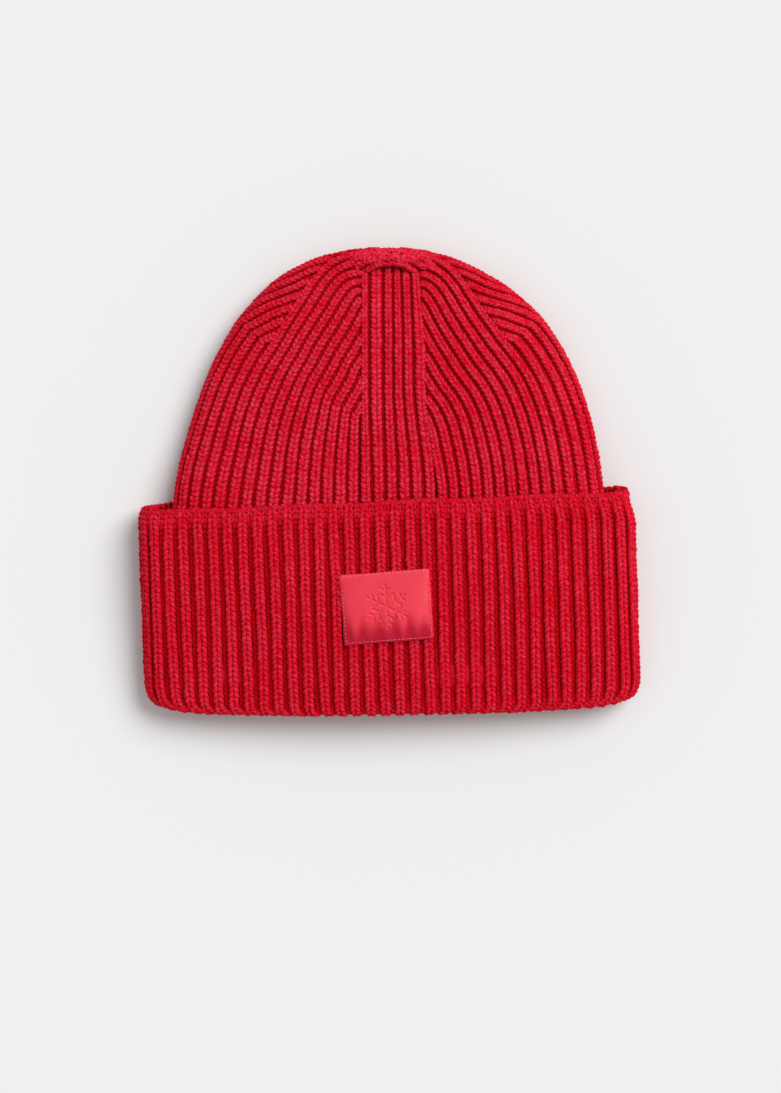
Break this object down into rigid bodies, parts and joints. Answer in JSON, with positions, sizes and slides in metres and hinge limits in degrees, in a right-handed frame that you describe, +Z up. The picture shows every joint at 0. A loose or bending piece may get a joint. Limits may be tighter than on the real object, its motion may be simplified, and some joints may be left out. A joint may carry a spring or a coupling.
{
  "type": "cuffed rib-knit beanie",
  "caption": "Chunky rib-knit beanie with a deep turned-up cuff, a domed crown and a stitched patch, lying flat on its back.",
  "frame": {"origin": "centre of the hat's footprint on the surface that it lies on", "axes": "+Z up from the surface through the patch side, +Y from the mouth to the top of the crown, +X to the right as seen from above"},
  "size_m": [0.2348, 0.222, 0.0333],
  "materials": {
    "rib_knit": "soft red wool-blend yarn, rib knit",
    "yarn": "the same red yarn, single strand",
    "patch_satin": "tone-on-tone satin, debossed",
    "patch_thread": "slightly shiny sewing thread",
    "care_ribbon": "blank white satin ribbon",
    "care_thread": "white sewing thread"
  },
  "bodies": {
    "hat": {"crown_knit": "rib_knit", "cuff_knit": "rib_knit", "cuff_hem_chain": "rib_knit", "crown_top_seam": "rib_knit", "crown_closing_yarn": "yarn", "back_seam": "yarn", "patch_label": "patch_satin", "patch_stitches": "patch_thread", "care_label_stitches": "care_thread"},
    "care_label": {"care_label": "care_ribbon"}
  },
  "joints": [
    {"name": "care_label_swing", "type": "hinge", "parent": "hat", "child": "care_label", "pos_m": [0.003, -0.066, 0.0098], "axis": [0, -1, 0], "range_deg": [0, 20]}
  ]
}
